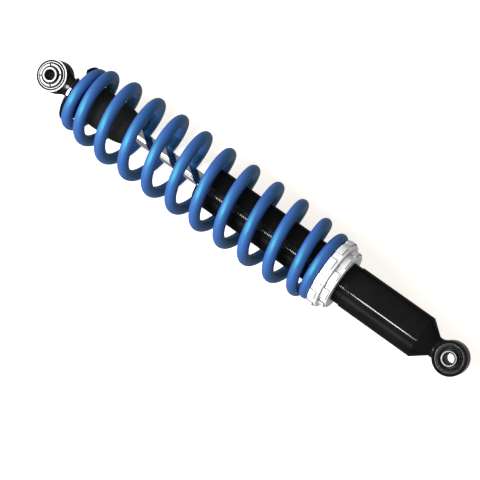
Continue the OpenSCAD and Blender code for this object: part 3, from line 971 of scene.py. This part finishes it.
def wire_nodes(material):
    """Node group that turns the moved centreline into round wire.

    The line arrives shortened evenly. Each point goes back to its rest height, less its own share of how far
    the top has come down, so the closed end turns stay closed and the wire stays round."""
    tree = bpy.data.node_groups.new("round_wire", "GeometryNodeTree")
    for direction in ("INPUT", "OUTPUT"):
        tree.interface.new_socket("Geometry", in_out=direction, socket_type="NodeSocketGeometry")

    def add(kind, **settings):
        node = tree.nodes.new(kind)
        for key, value in settings.items():
            setattr(node, key, value)
        return node

    def link(source, target):
        tree.links.new(source, target)

    def stored(name):
        node = add("GeometryNodeInputNamedAttribute", data_type="FLOAT")
        node.inputs["Name"].default_value = name
        return node.outputs["Attribute"]

    def calculate(operation, a, b):
        node = add("ShaderNodeMath", operation=operation)
        link(a, node.inputs[0])
        link(b, node.inputs[1])
        return node.outputs[0]

    source, sink = add("NodeGroupInput"), add("NodeGroupOutput")
    split, join = add("ShaderNodeSeparateXYZ"), add("ShaderNodeCombineXYZ")
    link(add("GeometryNodeInputPosition").outputs[0], split.inputs[0])
    drop = add("GeometryNodeAttributeStatistic", data_type="FLOAT", domain="POINT")
    link(source.outputs[0], drop.inputs["Geometry"])
    link(calculate("SUBTRACT", stored("rest_z"), split.outputs[2]), drop.inputs["Attribute"])
    lowered = calculate("MULTIPLY", drop.outputs["Max"], stored("stroke_share"))
    link(split.outputs[0], join.inputs[0])
    link(split.outputs[1], join.inputs[1])
    link(calculate("SUBTRACT", stored("rest_z"), lowered), join.inputs[2])
    moved = add("GeometryNodeSetPosition")
    link(source.outputs[0], moved.inputs["Geometry"])
    link(join.outputs[0], moved.inputs["Position"])
    curve = add("GeometryNodeMeshToCurve")
    link(moved.outputs[0], curve.inputs[0])
    normal = add("GeometryNodeSetCurveNormal", mode="Z_UP")
    link(curve.outputs[0], normal.inputs[0])
    profile = add("GeometryNodeCurvePrimitiveCircle", mode="RADIUS")
    profile.inputs["Resolution"].default_value = WIRE_SIDES
    profile.inputs["Radius"].default_value = MM
    sweep = add("GeometryNodeCurveToMesh")
    link(normal.outputs[0], sweep.inputs["Curve"])
    link(profile.outputs[0], sweep.inputs["Profile Curve"])
    link(stored("wire_radius"), sweep.inputs["Scale"])
    sweep.inputs["Fill Caps"].default_value = True
    coat = add("GeometryNodeSetMaterial")
    coat.inputs["Material"].default_value = material
    link(sweep.outputs[0], coat.inputs[0])
    smooth = add("GeometryNodeSetShadeSmooth")
    link(coat.outputs[0], smooth.inputs[0])
    link(smooth.outputs[0], sink.inputs[0])
    return tree


def spring():
    line, shares, radii = spring_line()
    mesh = bpy.data.meshes.new("spring_wire")
    mesh.from_pydata((np.array(line) * MM).tolist(), [(k, k + 1) for k in range(len(line) - 1)], [])
    stored = {"rest_z": [p[2] * MM for p in line], "stroke_share": shares, "wire_radius": radii}
    for name, values in stored.items():
        attribute = mesh.attributes.new(name, "FLOAT", "POINT")
        attribute.data.foreach_set("value", np.array(values, np.float32))
    wire = bpy.data.objects.new("spring_wire", mesh)
    bpy.context.scene.collection.objects.link(wire)
    wire.data.materials.append(BLUE)
    wire.modifiers.new("round_wire", "NODES").node_group = wire_nodes(BLUE)
    settle(wire, "perch", "blue_spring", "coil_spring")
    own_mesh(wire)
    return wire


# ---------------------------------------------------------------------------------------------------------
# Stage, light and camera
# ---------------------------------------------------------------------------------------------------------

SIDEWAYS = Vector((math.cos(VIEW_TURN), math.sin(VIEW_TURN), 0))
TOWARDS_CAMERA = Vector((math.sin(VIEW_TURN), -math.cos(VIEW_TURN), 0))
UP_THE_STRUT = Vector((0, 0, 1))


def studio_point(side, out, up):
    """A point by its distance beside the strut, out from the table and up the strut, in millimetres."""
    return (SIDEWAYS * side + TOWARDS_CAMERA * out + UP_THE_STRUT * up) * MM


def camera_only(sheet):
    """Only the camera sees this sheet, so that it neither lights the strut nor shows in its gloss."""
    for ray in ("diffuse", "glossy", "transmission", "volume_scatter", "shadow"):
        setattr(sheet, f"visible_{ray}", False)


def table_top():
    """A plain sheet under the strut."""
    middle = studio_point(0, -TABLE_GAP, AIM_Z)
    half = 2500.0
    corners = [
        middle + (SIDEWAYS * a + UP_THE_STRUT * b) * half * MM
        for a, b in ((-1, -1), (1, -1), (1, 1), (-1, 1))
    ]
    mesh = bpy.data.meshes.new("table_top")
    mesh.from_pydata([tuple(c) for c in corners], [], [(0, 1, 2, 3)])
    table = bpy.data.objects.new("table_top", mesh)
    bpy.context.scene.collection.objects.link(table)
    table.data.materials.append(plain_table())
    camera_only(table)
    return table


def backdrop():
    """A white dome behind everything."""
    bpy.ops.mesh.primitive_uv_sphere_add(segments=48, ring_count=24, radius=9.0)
    dome = bpy.context.object
    dome.name = "backdrop"
    material = bpy.data.materials.new("backdrop_white")
    material.use_nodes = True
    tree = material.node_tree
    tree.nodes.clear()
    glow, output = tree.nodes.new("ShaderNodeEmission"), tree.nodes.new("ShaderNodeOutputMaterial")
    glow.inputs["Strength"].default_value = 1.0
    tree.links.new(glow.outputs[0], output.inputs["Surface"])
    dome.data.materials.append(material)
    camera_only(dome)
    return dome


def softbox(name, side, out, up, width, height, radiance, aim=(0, 0, 250)):
    """An area light that faces the strut. Its power is set from the radiance of its face."""
    light = bpy.data.lights.new(name, "AREA")
    light.shape = "RECTANGLE"
    light.size, light.size_y = width * MM, height * MM
    light.energy = radiance * math.pi * light.size * light.size_y
    obj = bpy.data.objects.new(name, light)
    bpy.context.scene.collection.objects.link(obj)
    place = studio_point(side, out, up)
    towards = studio_point(*aim) - place
    back = -towards.normalized()
    across = UP_THE_STRUT.cross(back).normalized()
    upwards = back.cross(across)
    obj.matrix_world = Matrix.Translation(place) @ Matrix((across, upwards, back)).transposed().to_4x4()
    obj.visible_camera = False
    return obj


def lights():
    softbox("key", -400, 950, 1200, 1000, 1200, 7.0)
    softbox("tube_strip", -640, 1150, 258, 90, 118, 110.0)
    softbox("coil_strip", -640, 1150, 560, 120, 220, 160.0)
    softbox("side", -1300, 500, 350, 500, 900, 1.5)
    world = bpy.data.worlds.new("room")
    world.use_nodes = True
    world.node_tree.nodes["Background"].inputs["Color"].default_value = (1, 1, 1, 1)
    world.node_tree.nodes["Background"].inputs["Strength"].default_value = 0.4
    bpy.context.scene.world = world


def camera():
    place = studio_point(AIM_SIDE, CAMERA_AWAY, CAMERA_Z)
    aim = studio_point(AIM_SIDE, 0, AIM_Z)
    back = (place - aim).normalized()
    up_strut = (UP_THE_STRUT - UP_THE_STRUT.dot(back) * back).normalized()
    beside = up_strut.cross(back)
    side_slant = STRUT_SLANT - math.pi / 2
    right = beside * math.cos(side_slant) + up_strut * math.cos(STRUT_SLANT)
    up = beside * math.sin(side_slant) + up_strut * math.sin(STRUT_SLANT)
    data = bpy.data.cameras.new("camera")
    data.lens, data.sensor_width = LENS_MM, SENSOR_MM
    data.clip_end = 50
    obj = bpy.data.objects.new("camera", data)
    bpy.context.scene.collection.objects.link(obj)
    obj.matrix_world = Matrix.Translation(place) @ Matrix((right, up, back)).transposed().to_4x4()
    bpy.context.scene.camera = obj


# ---------------------------------------------------------------------------------------------------------

dress_cad_nodes()
damper_tube()
lower_end_cap()
upper_eye_forging()
bush("lower", "body", "lower_sleeve", True, "black_steel", "black_steel")
bush("upper", "shaft_group", "upper_sleeve", False, "plated_steel", "bright_ring")
ring_nut("preload_nut", "adjuster_nut", "adjuster", 37.5, 12, 17.6, 18, rim=2.7, recess_r=34.9)
ring_nut("locking_nut", "lock_nut", "lock_ring", 32.0, 10, 22.5, 20, rim=1.5)
jam_nut()
small_screws()
upper_seat()
bump_stop()
spring()
table_top()
backdrop()
lights()
camera()
bpy.context.scene.view_settings.view_transform = "Standard"
